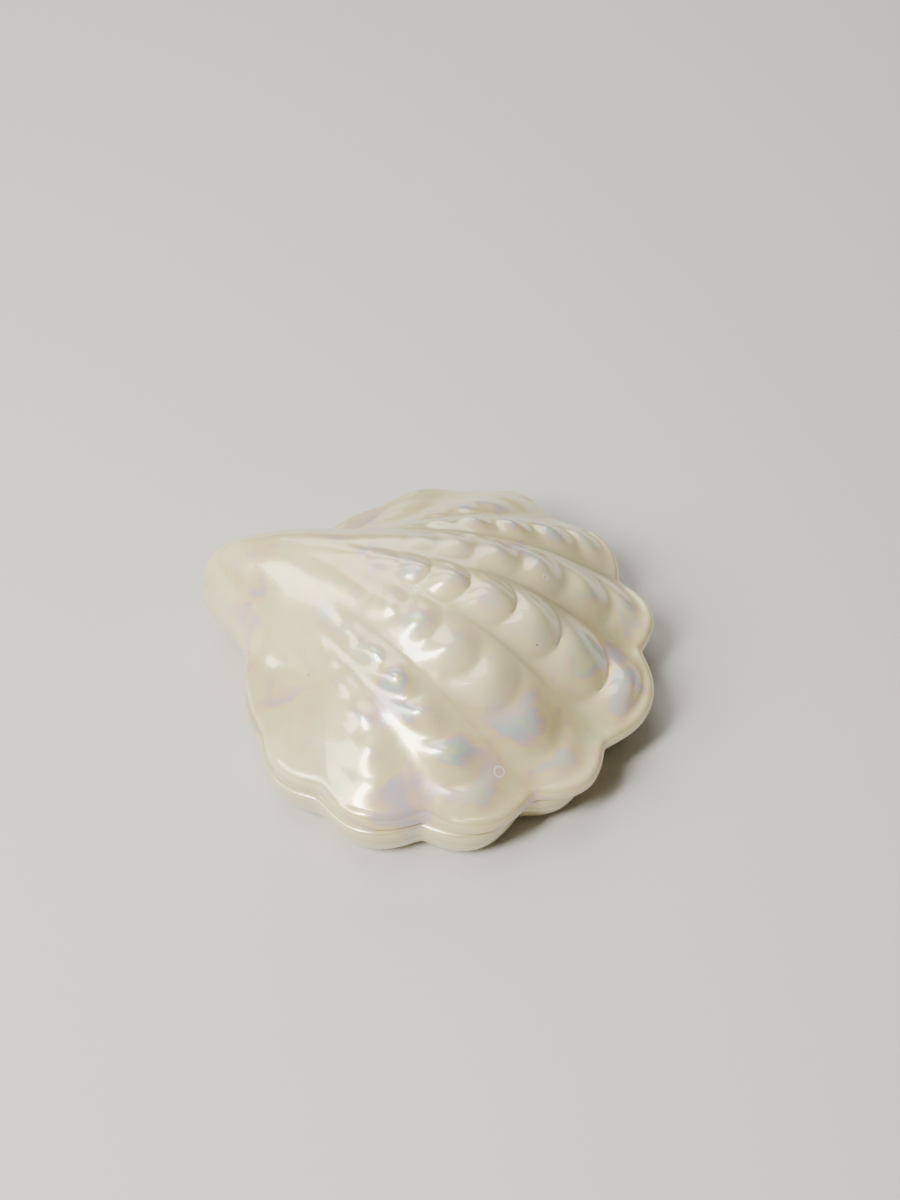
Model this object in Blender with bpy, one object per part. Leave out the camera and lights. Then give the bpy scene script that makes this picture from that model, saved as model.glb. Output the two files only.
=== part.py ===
"""Scallop shell trinket box: a hollow base and its loose lid, both of glazed ceramic.

Metres, +Z up, +X from the nose to the fan, mirrored across the XZ plane, underside at z = 0.

The form is set out on rays and rings. A ray runs from the apex to the shell's edge: whole numbers
0 to 5 are the middles of the ribs, from the rib on the mirror plane to the one beside the waist, and
half numbers are the valleys between them. From WAIST_RAY to NOSE_RAY the shell is the smooth nose.
A ring runs round the shell: ring 0 is the apex and ring 1 is the edge.
"""

import bmesh
import bpy
import numpy as np

# Plan of the lid's edge, measured from the plan's start at the nose
NOSE_TIP_X = 0.0018
NOSE_PULL = 0.0084
WAIST_PULL_X = 0.0180
WAIST_PULL_Y = 0.0131
WAIST_X = 0.0267
WAIST_Y = 0.0236
FAN_CENTRE_X = 0.0750
VALLEY_RADII = (0.0598, 0.0598, 0.0601, 0.0599, 0.0567)
VALLEY_ANGLES_DEG = (17.4, 42.9, 72.3, 101.2, 126.8)
LOBE_DEPTHS = (0.0050, 0.0049, 0.0049, 0.0043, 0.0032, 0.0004)
LOBE_ROUNDNESS = 1.03
VALLEY_SOFTNESS = 0.12

# Rays on the lid's top
APEX_X = 0.0200
VALLEY_STARTS_DEG = (7.2, 23.5, 34.0, 44.0, 57.0, 72.0)
RAY_BEND = 4.0
WAIST_RAY = 5.5
NOSE_RAY = 8.0

# Height of the lid's crest above its rim, along the mirror plane
CREST_HEIGHTS = (
    (0.0015, 0.0024), (0.0030, 0.0095), (0.0080, 0.0188), (0.0170, 0.0249), (0.0290, 0.0293),
    (0.0410, 0.0320), (0.0550, 0.0330), (0.0650, 0.0332), (0.0750, 0.0327), (0.0850, 0.0312),
    (0.0980, 0.0270), (0.1070, 0.0216), (0.1160, 0.0146), (0.1220, 0.0096), (0.1290, 0.0054),
    (0.1400, 0.0028),
)
# Rounded ridge that the nose carries towards the fan
RIDGE_HALF_WIDTHS = (
    (0.0100, 0.0186), (0.0170, 0.0198), (0.0280, 0.0223), (0.0410, 0.0249), (0.0600, 0.0336),
)
RIDGE_START_X = 0.0120
RIDGE_FULL_X = 0.0240
RIDGE_EDGE_SHARE = 0.97
NOSE_ROUND_POWER = 0.5
RIDGE_ROUND_POWER = 1.15
RIDGE_ROUND_START_X = 0.0100
RIDGE_ROUND_FULL_X = 0.0280
# Low skirt beside the ridge
SKIRT_START_X = 0.0140
SKIRT_FULL_X = 0.0360
SKIRT_TOP = 0.0110
SKIRT_EDGE = 0.0042
SKIRT_POWER = 1.6
# Cone-like fan beyond the ridge
FAN_START_X = 0.0360
FAN_FULL_X = 0.0780
FAN_DROP = 1.0
FAN_POWER = 1.25
FAN_CREST_SOFTNESS = 0.12
SIDE_CIRCLE_RADIUS = 0.0620
SIDE_CIRCLE_START_X = 0.0500
SIDE_HALF_WIDTHS = ((0.0330, 0.0375), (0.0410, 0.0485))
LEAST_HALF_WIDTH = 0.0005

# Lid's edge
EDGE_HEIGHT_FAN = 0.0038
EDGE_HEIGHT_NOSE = 0.0052
EDGE_START_RAY = 4.2
EDGE_BLEND = 0.0007
EDGE_RADIUS = 0.0020
NOSE_SQUEEZE_RING = 0.5

# Ribs and the beads along them, one value for each rib
RIB_HEIGHTS = (0.0013, 0.0014, 0.0014, 0.0011, 0.0007, 0.0002)
BEAD_HEIGHTS = (0.0032, 0.0019, 0.0018, 0.0005, 0.0001, 0.0)
BEAD_END_SOFTNESS = (0.85, 1.80, 2.00, 2.00, 2.00, 2.00)
BEAD_SIDE_SOFTNESS = (1.1, 2.5, 2.5, 2.4, 2.2, 2.0)
BEAD_ENDS = (0.225, 0.300, 0.379, 0.457, 0.552, 0.663, 0.771, 0.890, 1.0)
BEAD_ARC = 0.014
BEAD_FIRST_SIZE = 0.30
BEAD_GROWTH_START_RING = 0.20
BEAD_GROWTH_FULL_RING = 0.85
LOBE_BEAD_SIZE = 0.80
LOBE_BEAD_SKEW = 0.9
LOBE_BEAD_FALL = 0.85
RIBS_START_RING = 0.15
RIBS_FULL_RING = 0.50
ARC_FULL_RING = 0.70
ARC_FADE_RING = 0.93

# Lid's underside
LID_WALL = 0.0040
TONGUE_DEPTH = 0.0030
TONGUE_WALL = 0.0024
TONGUE_CLEARANCE = 0.0008
LID_INSIDE_FLOOR = 0.0005
SLOPE_PROBE = 0.0005

# Base
BASE_HEIGHT = 0.0133
SEAM_GAP = 0.0003
BASE_FAN_INSET = 0.0058
BASE_NOSE_INSET = 0.0053
BASE_FAN_POWER = 1.5
BASE_NOSE_START = 0.8
RIM_WALL = 0.0045
FLOOR_WALL = 0.0042
# Outside of the base: how far it stands out of the lid's edge, and its height as a share
BASE_PROFILE = (
    (-0.0003, 1.000), (0.0007, 0.965), (0.0012, 0.880), (0.0012, 0.797), (0.0010, 0.707),
    (0.0005, 0.647), (0.0005, 0.571), (-0.0002, 0.390), (-0.0012, 0.227), (-0.0029, 0.105),
    (-0.0070, 0.000),
)
# Inside of the base: how far it lies within the rim's inner edge, and its depth as a share
CAVITY_PROFILE = ((0.0, 0.0), (0.0003, 0.60), (0.0015, 0.88), (0.0040, 1.00))

# Facets
RIB_RAY_STEPS = (-0.39, -0.20, 0.0, 0.20, 0.39, 0.5)
NOSE_RAY_STEPS = 7
APEX_RINGS = (0.08, 0.16)
SMALL_BEAD_STEPS = (0.0, 0.5)
LARGE_BEAD_STEPS = (0.0, 0.28, 0.72)
SMALL_BEADS = 3
EDGE_TURNS_DEG = (0.0, 30.0, 60.0, 90.0)
INSIDE_RINGS = (1.0, 0.88, 0.74, 0.58, 0.40, 0.22)
SHARP_ANGLE_DEG = 50.0

# Glaze
GLAZE_COLOUR = (0.78, 0.76, 0.68, 1.0)
GLAZE_ROUGHNESS = 0.16


def smooth_step(start, end, value):
    """Ease from 0 at start to 1 at end."""
    share = np.clip((value - start) / (end - start), 0.0, 1.0)
    return share * share * (3.0 - 2.0 * share)


def smooth_curve(points, x):
    """Monotone cubic curve through the points, held level beyond its ends."""
    knots = np.array([point[0] for point in points])
    values = np.array([point[1] for point in points])
    steps = np.diff(knots)
    slopes = np.diff(values) / steps
    tangents = np.concatenate(([slopes[0]], np.zeros(len(slopes) - 1), [slopes[-1]]))
    for i in range(1, len(slopes)):
        if slopes[i - 1] * slopes[i] > 0.0:
            before = 2.0 * steps[i] + steps[i - 1]
            after = steps[i] + 2.0 * steps[i - 1]
            tangents[i] = (before + after) / (before / slopes[i - 1] + after / slopes[i])
    x = np.clip(x, knots[0], knots[-1])
    i = np.clip(np.searchsorted(knots, x, side="right") - 1, 0, len(steps) - 1)
    s = (x - knots[i]) / steps[i]
    return (
        (1.0 + 2.0 * s) * (1.0 - s) ** 2 * values[i]
        + s * (1.0 - s) ** 2 * steps[i] * tangents[i]
        + s * s * (3.0 - 2.0 * s) * values[i + 1]
        + s * s * (s - 1.0) * steps[i] * tangents[i + 1]
    )


def bezier(share, start, pull_start, pull_end, end):
    """Point of a cubic curve at each share from start to end."""
    s = np.asarray(share, dtype=float)[..., None]
    points = [np.array(point) for point in (start, pull_start, pull_end, end)]
    return (
        (1.0 - s) ** 3 * points[0]
        + 3.0 * s * (1.0 - s) ** 2 * points[1]
        + 3.0 * s * s * (1.0 - s) * points[2]
        + s ** 3 * points[3]
    )


def nose_curve(share, offset=0.0):
    """Nose's edge from the tip (share 0) to the waist (share 1), moved outwards by offset."""
    waist = np.array([WAIST_X - FAN_CENTRE_X, WAIST_Y])
    waist_out = waist * (1.0 + offset / np.hypot(*waist))
    return bezier(
        share,
        (NOSE_TIP_X - offset, 0.0),
        (NOSE_TIP_X - offset, NOSE_PULL + 0.6 * offset),
        (WAIST_PULL_X - 0.6 * offset, WAIST_PULL_Y + 0.8 * offset),
        (FAN_CENTRE_X + waist_out[0], waist_out[1]),
    )


def rib_place(ray):
    """Rib that a ray belongs to, and the ray's place across it from -0.5 to 0.5."""
    rib = np.clip(np.floor(ray + 0.5).astype(int), 0, len(LOBE_DEPTHS) - 1)
    across = np.where(ray > WAIST_RAY, 0.5, ray - rib)
    return rib, across


def lid_outline(ray, offset=0.0):
    """Plan of the lid's edge, moved outwards by offset, for rays from 0 to NOSE_RAY."""
    waist_angle = np.degrees(np.arctan2(WAIST_Y, WAIST_X - FAN_CENTRE_X))
    waist_radius = np.hypot(WAIST_Y, WAIST_X - FAN_CENTRE_X)
    valley_rays = np.arange(len(VALLEY_ANGLES_DEG) + 2) - 0.5
    valley_angles = (-VALLEY_ANGLES_DEG[0],) + VALLEY_ANGLES_DEG + (waist_angle,)
    valley_radii = (VALLEY_RADII[0],) + VALLEY_RADII + (waist_radius,)
    fan_ray = np.clip(ray, 0.0, WAIST_RAY)
    angle = np.radians(np.interp(fan_ray, valley_rays, valley_angles))
    rib, across = rib_place(fan_ray)
    arch = np.sqrt(np.cos(np.pi * across) ** 2 + VALLEY_SOFTNESS ** 2) - VALLEY_SOFTNESS
    arch = arch / (np.sqrt(1.0 + VALLEY_SOFTNESS ** 2) - VALLEY_SOFTNESS)
    radius = np.interp(fan_ray, valley_rays, valley_radii)
    radius = radius + np.array(LOBE_DEPTHS)[rib] * arch ** LOBE_ROUNDNESS + offset
    nose = nose_curve(np.clip((NOSE_RAY - ray) / (NOSE_RAY - WAIST_RAY), 0.0, 1.0), offset)
    x = np.where(ray > WAIST_RAY, nose[..., 0], FAN_CENTRE_X + radius * np.cos(angle))
    y = np.where(ray > WAIST_RAY, nose[..., 1], radius * np.sin(angle))
    return x, y


def base_outline(ray, offset=0.0):
    """Plan of the base, which is a little shorter than the lid at both ends."""
    x, y = lid_outline(ray, offset)
    towards_fan = (x - FAN_CENTRE_X) / np.hypot(x - FAN_CENTRE_X, y)
    fan_end = np.clip(towards_fan, 0.0, 1.0) ** BASE_FAN_POWER
    nose_end = np.clip((-towards_fan - BASE_NOSE_START) / (1.0 - BASE_NOSE_START), 0.0, 1.0)
    return x - BASE_FAN_INSET * fan_end + BASE_NOSE_INSET * nose_end, y


def plan_point(ray, ring, edge):
    """Plan point of a ray at a ring, for the edge's x and y at that ray."""
    reach_x = edge[0] - APEX_X
    reach = np.hypot(reach_x, edge[1])
    end_angle = np.degrees(np.arctan2(edge[1], reach_x))
    starts = [(0.0, 0.0)] + [(i + 0.5, angle) for i, angle in enumerate(VALLEY_STARTS_DEG)]
    start_angle = smooth_curve(starts + [(NOSE_RAY, 180.0)], ray)
    angle = np.radians(start_angle + (end_angle - start_angle) * ring ** RAY_BEND)
    return APEX_X + ring * reach * np.cos(angle), ring * reach * np.sin(angle)


def side_half_width(x):
    """Half width of the lid at x, with its lobes left out."""
    nose = nose_curve(np.linspace(0.0, 1.0, 40))
    side_x = np.concatenate((nose[:, 0], [point[0] for point in SIDE_HALF_WIDTHS]))
    side_y = np.concatenate((nose[:, 1], [point[1] for point in SIDE_HALF_WIDTHS]))
    circle = np.sqrt(np.clip(SIDE_CIRCLE_RADIUS ** 2 - (x - FAN_CENTRE_X) ** 2, 0.0, None))
    start = np.sqrt(SIDE_CIRCLE_RADIUS ** 2 - (SIDE_CIRCLE_START_X - FAN_CENTRE_X) ** 2)
    side_x = np.append(side_x, SIDE_CIRCLE_START_X)
    side_y = np.append(side_y, start)
    return np.where(x > SIDE_CIRCLE_START_X, circle, np.interp(x, side_x, side_y))


def soft_maximum(first, second, blend):
    """Larger of two heights, rounded where they meet."""
    return blend * np.logaddexp(first / blend, second / blend)


def dome_height(x, y):
    """Height of the lid's smooth form above its rim, without ribs and beads."""
    crest = smooth_curve(CREST_HEIGHTS, x)
    half_width = np.maximum(side_half_width(x), LEAST_HALF_WIDTH)
    share = np.clip(np.abs(y) / half_width, 0.0, 1.0)
    soft_share = np.sqrt(share ** 2 + FAN_CREST_SOFTNESS ** 2) - FAN_CREST_SOFTNESS
    fan = crest * (1.0 - FAN_DROP * soft_share ** FAN_POWER)
    ridge_mix = smooth_step(RIDGE_START_X, RIDGE_FULL_X, x)
    nose_width = half_width / RIDGE_EDGE_SHARE
    ridge_width = nose_width + (smooth_curve(RIDGE_HALF_WIDTHS, x) - nose_width) * ridge_mix
    round_mix = smooth_step(RIDGE_ROUND_START_X, RIDGE_ROUND_FULL_X, x)
    round_power = NOSE_ROUND_POWER + (RIDGE_ROUND_POWER - NOSE_ROUND_POWER) * round_mix
    ridge = np.clip(1.0 - (y / ridge_width) ** 2, 0.0, 1.0) ** round_power
    skirt = SKIRT_TOP + (SKIRT_EDGE - SKIRT_TOP) * share ** SKIRT_POWER
    skirt = skirt * smooth_step(SKIRT_START_X, SKIRT_FULL_X, x)
    low = skirt + (crest - skirt) * ridge
    fan_mix = smooth_step(FAN_START_X, FAN_FULL_X, x)
    return low * (1.0 - fan_mix) + fan * fan_mix


def bead_sweep(ray, ring):
    """How far a bead's end curves back towards the apex beside its rib's middle."""
    across = rib_place(ray)[1]
    fade = smooth_step(RIBS_START_RING, ARC_FULL_RING, ring) * (1.0 - smooth_step(ARC_FADE_RING, 1.0, ring))
    return BEAD_ARC * (2.0 * across) ** 2 * fade


def relief_height(ray, ring):
    """Height of ribs and beads above the smooth form, at a ring that follows the beads' ends."""
    crosswise = np.abs(np.cos(np.pi * rib_place(ray)[1]))
    ribs = np.arange(len(RIB_HEIGHTS))
    fade = smooth_step(RIBS_START_RING, RIBS_FULL_RING, ring)
    rib = np.interp(ray, ribs, RIB_HEIGHTS) * crosswise ** 2
    if ring < BEAD_ENDS[0]:
        return rib * fade
    bead = min(np.searchsorted(BEAD_ENDS, ring, side="right") - 1, len(BEAD_ENDS) - 2)
    along = (ring - BEAD_ENDS[bead]) / (BEAD_ENDS[bead + 1] - BEAD_ENDS[bead])
    growth = smooth_step(BEAD_GROWTH_START_RING, BEAD_GROWTH_FULL_RING, ring)
    size = BEAD_FIRST_SIZE + (1.0 - BEAD_FIRST_SIZE) * growth
    if bead == len(BEAD_ENDS) - 2:
        size = LOBE_BEAD_SIZE
        along = along ** LOBE_BEAD_SKEW
    from_middle = abs(2.0 * along - 1.0)
    if bead == len(BEAD_ENDS) - 2 and along > 0.5:
        from_middle = LOBE_BEAD_FALL * from_middle
    lengthwise = max(np.cos(0.5 * np.pi * from_middle), 0.0) ** np.interp(ray, ribs, BEAD_END_SOFTNESS)
    mound = lengthwise * crosswise ** np.interp(ray, ribs, BEAD_SIDE_SOFTNESS)
    return (rib + np.interp(ray, ribs, BEAD_HEIGHTS) * size * mound) * fade


def edge_height(ray):
    """Height of the lid's upright edge."""
    nose_share = smooth_step(EDGE_START_RAY, WAIST_RAY, ray)
    return EDGE_HEIGHT_FAN + (EDGE_HEIGHT_NOSE - EDGE_HEIGHT_FAN) * nose_share


def lid_top_row(ray, ring, turn=0.0):
    """Row of points on the lid's top; turn is the angle round the edge's rounding, at ring 1."""
    edge = lid_outline(ray)
    reach = np.hypot(edge[0] - APEX_X, edge[1])
    nose_share = smooth_step(EDGE_START_RAY, WAIST_RAY, ray)
    start = BEAD_ENDS[-2] + (NOSE_SQUEEZE_RING - BEAD_ENDS[-2]) * nose_share
    squeeze = (1.0 - EDGE_RADIUS / reach - start) / (1.0 - start)
    share = ring - bead_sweep(ray, ring)
    share = np.where(share > start, start + (share - start) * squeeze, share)
    share = share + EDGE_RADIUS * np.sin(turn) / reach
    x, y = plan_point(ray, share, edge)
    height = soft_maximum(dome_height(x, y) + relief_height(ray, ring), edge_height(ray), EDGE_BLEND)
    return x, y, height - EDGE_RADIUS * (1.0 - np.cos(turn))


def inside_row(ray, ring):
    """Row of points on the lid's inside, a wall's thickness below the smooth form."""
    edge = base_outline(ray, -(RIM_WALL + TONGUE_CLEARANCE + TONGUE_WALL))
    x, y = plan_point(ray, ring, edge)
    width = 2.0 * SLOPE_PROBE
    slope_x = (dome_height(x + SLOPE_PROBE, y) - dome_height(x - SLOPE_PROBE, y)) / width
    slope_y = (dome_height(x, y + SLOPE_PROBE) - dome_height(x, y - SLOPE_PROBE)) / width
    height = dome_height(x, y) - LID_WALL * np.sqrt(1.0 + slope_x ** 2 + slope_y ** 2)
    return x, y, np.maximum(height, LID_INSIDE_FLOOR)


def half_rays():
    """Rays from the middle of the fan to the nose."""
    ribs = [rib + step for rib in range(len(LOBE_DEPTHS)) for step in RIB_RAY_STEPS]
    fan = [ray for ray in ribs if ray >= 0.0]
    nose = np.linspace(WAIST_RAY, NOSE_RAY, NOSE_RAY_STEPS + 1)[1:]
    return np.concatenate((fan, nose))


def full_row(x, y, height, z):
    """Closed row of points in the part's frame, from a half row of plan points."""
    half = np.stack((x - plan_middle(), y, np.broadcast_to(z + height, x.shape)), axis=1)
    mirrored = half[-2:0:-1] * (1.0, -1.0, 1.0)
    return np.concatenate((half, mirrored))


def plan_middle():
    """Plan x of the middle of the lid, which is the frame's origin."""
    return 0.5 * (NOSE_TIP_X + lid_outline(np.array([0.0]))[0][0])


def lid_rows(ray):
    """Rows of the lid from its top's apex over the edge to its inside."""
    rim = BASE_HEIGHT + SEAM_GAP
    rings = list(APEX_RINGS)
    for bead in range(len(BEAD_ENDS) - 1):
        steps = SMALL_BEAD_STEPS if bead < SMALL_BEADS else LARGE_BEAD_STEPS
        length = BEAD_ENDS[bead + 1] - BEAD_ENDS[bead]
        rings += [BEAD_ENDS[bead] + step * length for step in steps]
    rows = [full_row(*lid_top_row(ray, ring), rim) for ring in rings]
    rows += [full_row(*lid_top_row(ray, 1.0, np.radians(turn)), rim) for turn in EDGE_TURNS_DEG]
    rows.append(full_row(*lid_outline(ray), 0.0, rim))
    tongue_out = base_outline(ray, -(RIM_WALL + TONGUE_CLEARANCE))
    tongue_in = base_outline(ray, -(RIM_WALL + TONGUE_CLEARANCE + TONGUE_WALL))
    rows.append(full_row(*tongue_out, 0.0, rim))
    rows.append(full_row(*tongue_out, 0.0, rim - TONGUE_DEPTH))
    rows.append(full_row(*tongue_in, 0.0, rim - TONGUE_DEPTH))
    rows += [full_row(*inside_row(ray, ring), rim) for ring in INSIDE_RINGS]
    return rows


def base_rows(ray):
    """Rows of the base from its underside round the rim to its floor."""
    rows = []
    for offset, share in reversed(BASE_PROFILE):
        rows.append(full_row(*base_outline(ray, offset), 0.0, share * BASE_HEIGHT))
    depth = BASE_HEIGHT - FLOOR_WALL
    for inset, share in CAVITY_PROFILE:
        rows.append(full_row(*base_outline(ray, -RIM_WALL - inset), 0.0, BASE_HEIGHT - share * depth))
    return rows


def glaze_material(name):
    """Pearl glaze of one piece."""
    material = bpy.data.materials.new(name)
    material.use_nodes = True
    shader = material.node_tree.nodes["Principled BSDF"]
    shader.inputs["Base Color"].default_value = GLAZE_COLOUR
    shader.inputs["Roughness"].default_value = GLAZE_ROUGHNESS
    shader.inputs["Metallic"].default_value = 0.0
    material.diffuse_color = GLAZE_COLOUR
    return material


def add_band(mesh, first, second):
    """Triangles between two rows of vertices, with each square split along its shorter diagonal."""
    for i in range(len(first)):
        j = (i + 1) % len(first)
        split_here = (first[i].co - second[j].co).length < (first[j].co - second[i].co).length
        if split_here:
            mesh.faces.new((first[i], first[j], second[j]))
            mesh.faces.new((first[i], second[j], second[i]))
        else:
            mesh.faces.new((first[i], first[j], second[i]))
            mesh.faces.new((first[j], second[j], second[i]))


def add_cap(mesh, row, point):
    """Triangles from a row of vertices to one point."""
    middle = mesh.verts.new(point)
    for i, vertex in enumerate(row):
        mesh.faces.new((vertex, row[(i + 1) % len(row)], middle))


def build_piece(name, rows, first_point, last_point):
    """One closed solid from rows of points and the two points that close its ends."""
    mesh = bmesh.new()
    vertex_rows = [[mesh.verts.new(point) for point in row] for row in rows]
    for first, second in zip(vertex_rows, vertex_rows[1:]):
        add_band(mesh, first, second)
    add_cap(mesh, vertex_rows[0], first_point)
    add_cap(mesh, vertex_rows[-1], last_point)
    bmesh.ops.recalc_face_normals(mesh, faces=mesh.faces)
    data = bpy.data.meshes.new(name)
    mesh.to_mesh(data)
    mesh.free()
    data.shade_smooth()
    data.set_sharp_from_angle(angle=np.radians(SHARP_ANGLE_DEG))
    data.materials.append(glaze_material(name))
    bpy.context.scene.collection.objects.link(bpy.data.objects.new(name, data))


def main():
    """Clear the scene and build the base and the lid."""
    for thing in list(bpy.data.objects):
        bpy.data.objects.remove(thing)
    ray = half_rays()
    rim = BASE_HEIGHT + SEAM_GAP
    apex = np.array([APEX_X])
    apex_top = rim + float(dome_height(apex, np.zeros(1))[0])
    inside_x, inside_y, inside_height = inside_row(np.zeros(1), 0.0)
    fan_x = FAN_CENTRE_X - plan_middle()
    build_piece("base", base_rows(ray), (fan_x, 0.0, 0.0), (fan_x, 0.0, FLOOR_WALL))
    build_piece(
        "lid",
        lid_rows(ray),
        (APEX_X - plan_middle(), 0.0, apex_top),
        (inside_x[0] - plan_middle(), inside_y[0], rim + inside_height[0]),
    )


main()
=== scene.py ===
"""Dress the scallop shell trinket box in its beaded form and pearl lustre glaze.

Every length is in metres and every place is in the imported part's frame: +X runs from the shell's nose
to its fan, +Z is up and the shell is mirrored across the XZ plane.

The form is set out on rays and rings. A ray runs from the apex to the shell's edge: whole numbers 0
to 5 are the middles of the ribs, from the rib on the mirror plane to the one beside the waist, and half
numbers are the valleys between them. Beyond the waist the shell is the smooth nose. A ring runs round
the shell: ring 0 is the apex and ring 1 is the edge.
"""

import logging
from dataclasses import dataclass, field
from enum import Enum
from typing import Dict, List, Sequence, Tuple, Union

import bpy
import numpy as np
from mathutils import Matrix, Vector

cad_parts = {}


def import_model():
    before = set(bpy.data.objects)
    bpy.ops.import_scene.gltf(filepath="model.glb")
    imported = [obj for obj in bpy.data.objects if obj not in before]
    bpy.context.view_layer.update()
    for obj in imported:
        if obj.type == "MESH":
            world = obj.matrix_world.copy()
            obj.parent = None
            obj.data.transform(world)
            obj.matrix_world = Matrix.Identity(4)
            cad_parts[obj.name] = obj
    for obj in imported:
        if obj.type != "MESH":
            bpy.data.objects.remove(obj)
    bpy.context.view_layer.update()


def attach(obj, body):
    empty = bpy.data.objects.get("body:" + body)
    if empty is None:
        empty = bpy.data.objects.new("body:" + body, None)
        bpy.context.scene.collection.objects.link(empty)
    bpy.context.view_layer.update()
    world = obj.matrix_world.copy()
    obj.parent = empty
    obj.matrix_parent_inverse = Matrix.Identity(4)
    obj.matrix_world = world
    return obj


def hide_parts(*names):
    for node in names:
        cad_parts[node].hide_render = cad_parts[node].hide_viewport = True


LOG = logging.getLogger("shell_box")

Pair = Tuple[float, float]
Triple = Tuple[float, float, float]
Colour = Tuple[float, float, float, float]
Plan = Tuple[np.ndarray, np.ndarray]
Points = Tuple[np.ndarray, np.ndarray, np.ndarray]
Feed = Union[float, Colour, bpy.types.NodeSocket]


class GlazeMap(Enum):
    """Values that each point of a skin carries for the glaze: lustre film thickness and share of painted
    shade.
    """

    FILM = "film"
    # Share of painted shade: colour darkened in the lid's creases and at its bead ends, on its rim and
    # inside, and over the base, where shade falls.
    POOL = "pool"


class SocketKind(Enum):
    """Kinds of value that a node group takes in or puts out."""

    COLOUR = "NodeSocketColor"
    NUMBER = "NodeSocketFloat"


def smooth_step(start: float, end: float, value: np.ndarray) -> np.ndarray:
    """Ease from 0 at start to 1 at end.

    Args:
        start: Value where the result is 0.
        end: Value where the result is 1.
        value: Values to ease.

    Returns:
        The eased shares.
    """
    share = np.clip((value - start) / (end - start), 0.0, 1.0)
    return share * share * (3.0 - 2.0 * share)


def smooth_curve(points: Sequence[Pair], x: np.ndarray) -> np.ndarray:
    """Monotone cubic curve through points, held level beyond its ends.

    Args:
        points: Knots as pairs of place and value.
        x: Places to read.

    Returns:
        The curve's values at x.
    """
    knots = np.array([point[0] for point in points])
    values = np.array([point[1] for point in points])
    steps = np.diff(knots)
    slopes = np.diff(values) / steps
    tangents = np.concatenate(([slopes[0]], np.zeros(len(slopes) - 1), [slopes[-1]]))
    for i in range(1, len(slopes)):
        if slopes[i - 1] * slopes[i] > 0.0:
            before = 2.0 * steps[i] + steps[i - 1]
            after = steps[i] + 2.0 * steps[i - 1]
            tangents[i] = (before + after) / (before / slopes[i - 1] + after / slopes[i])
    x = np.clip(x, knots[0], knots[-1])
    i = np.clip(np.searchsorted(knots, x, side="right") - 1, 0, len(steps) - 1)
    s = (x - knots[i]) / steps[i]
    return (
        (1.0 + 2.0 * s) * (1.0 - s) ** 2 * values[i]
        + s * (1.0 - s) ** 2 * steps[i] * tangents[i]
        + s * s * (3.0 - 2.0 * s) * values[i + 1]
        + s * s * (s - 1.0) * steps[i] * tangents[i + 1]
    )


def smooth_profile(profile: Sequence[Pair], rows: int) -> Plan:
    """Read a profile's two columns along smooth curves.

    Args:
        profile: Points of the profile.
        rows: How many points to read.

    Returns:
        The first and the second column at evenly spread places.
    """
    places = np.linspace(0.0, len(profile) - 1.0, rows)
    first = smooth_curve([(i, point[0]) for i, point in enumerate(profile)], places)
    second = smooth_curve([(i, point[1]) for i, point in enumerate(profile)], places)
    return first, second


def soft_maximum(first: np.ndarray, second: np.ndarray, blend: float) -> np.ndarray:
    """Larger of two heights, rounded where they meet.

    Args:
        first: One height.
        second: The other height.
        blend: Length over which they run together.

    Returns:
        The blended heights.
    """
    return blend * np.logaddexp(first / blend, second / blend)


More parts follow.
